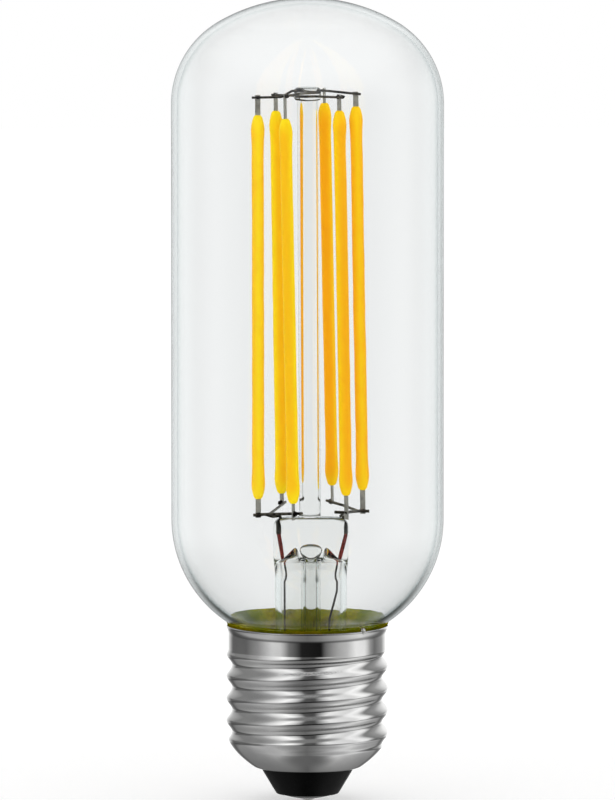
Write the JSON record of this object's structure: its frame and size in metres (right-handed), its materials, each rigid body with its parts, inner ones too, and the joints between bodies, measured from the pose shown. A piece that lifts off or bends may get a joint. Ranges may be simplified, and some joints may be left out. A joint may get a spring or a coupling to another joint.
{
  "type": "tubular light bulb",
  "caption": "Clear tubular filament-style lamp with yellow phosphor strips on a glass stem and a threaded metal screw cap.",
  "frame": {"origin": "lowest point of the centre contact's solder, on the lamp's axis", "axes": "+Z along the lamp's axis from the screw cap to the dome; the picture's viewer looks along +Y with +X to the right"},
  "size_m": [0.044, 0.044, 0.1302],
  "materials": {
    "clear_glass": "clear blown soda-lime glass",
    "stem_glass": "clear lead-free stem glass, pressed and flame-sealed",
    "phosphor": "yellow phosphor in silicone, satin",
    "nickel_plate": "bright nickel plate on rolled brass sheet",
    "black_insulator": "moulded black insulator, glossy",
    "tin_solder": "tin solder, dull bright",
    "cement": "olive capping cement, matt and granular",
    "nickel_wire": "drawn nickel wire, dull",
    "steel_tab": "plated steel strip, satin",
    "seal_wire": "oxidised copper-clad wire, red",
    "copper_wire": "bare copper wire",
    "circuit_board": "green solder mask",
    "chip_black": "moulded black epoxy",
    "capacitor_can": "dark sleeve on an aluminium can",
    "ferrite": "grey ferrite and winding",
    "resistor_body": "lacquered ceramic"
  },
  "bodies": {
    "root": {"bridge_rectifier": "chip_black", "cap_cement": "cement", "cap_insulator": "black_insulator", "centre_contact": "nickel_plate", "centre_rod": "stem_glass", "contact_solder": "tin_solder", "driver_board": "circuit_board", "driver_chip": "chip_black", "exhaust_tube": "stem_glass", "filament_1": "phosphor", "filament_2": "phosphor", "filament_3": "phosphor", "filament_4": "phosphor", "filament_5": "phosphor", "filament_6": "phosphor", "filter_choke": "ferrite", "fusible_resistor": "resistor_body", "glass_envelope": "clear_glass", "left_branch_wire": "nickel_wire", "left_bus_wire": "nickel_wire", "left_inner_lead": "nickel_wire", "left_outer_lead": "copper_wire", "left_seal_wire": "seal_wire", "lower_tab_1": "steel_tab", "lower_tab_2": "steel_tab", "lower_tab_3": "steel_tab", "lower_tab_4": "steel_tab", "lower_tab_5": "steel_tab", "lower_tab_6": "steel_tab", "right_branch_wire": "nickel_wire", "right_bus_wire": "nickel_wire", "right_inner_lead": "nickel_wire", "right_outer_lead": "copper_wire", "right_seal_wire": "seal_wire", "screw_shell": "nickel_plate", "side_lead": "copper_wire", "side_lead_solder": "tin_solder", "smoothing_capacitor": "capacitor_can", "stem_flare": "stem_glass", "top_support_wire_1": "nickel_wire", "top_support_wire_2": "nickel_wire", "top_support_wire_3": "nickel_wire", "upper_tab_1": "steel_tab", "upper_tab_2": "steel_tab", "upper_tab_3": "steel_tab", "upper_tab_4": "steel_tab", "upper_tab_5": "steel_tab", "upper_tab_6": "steel_tab"}
  },
  "joints": []
}
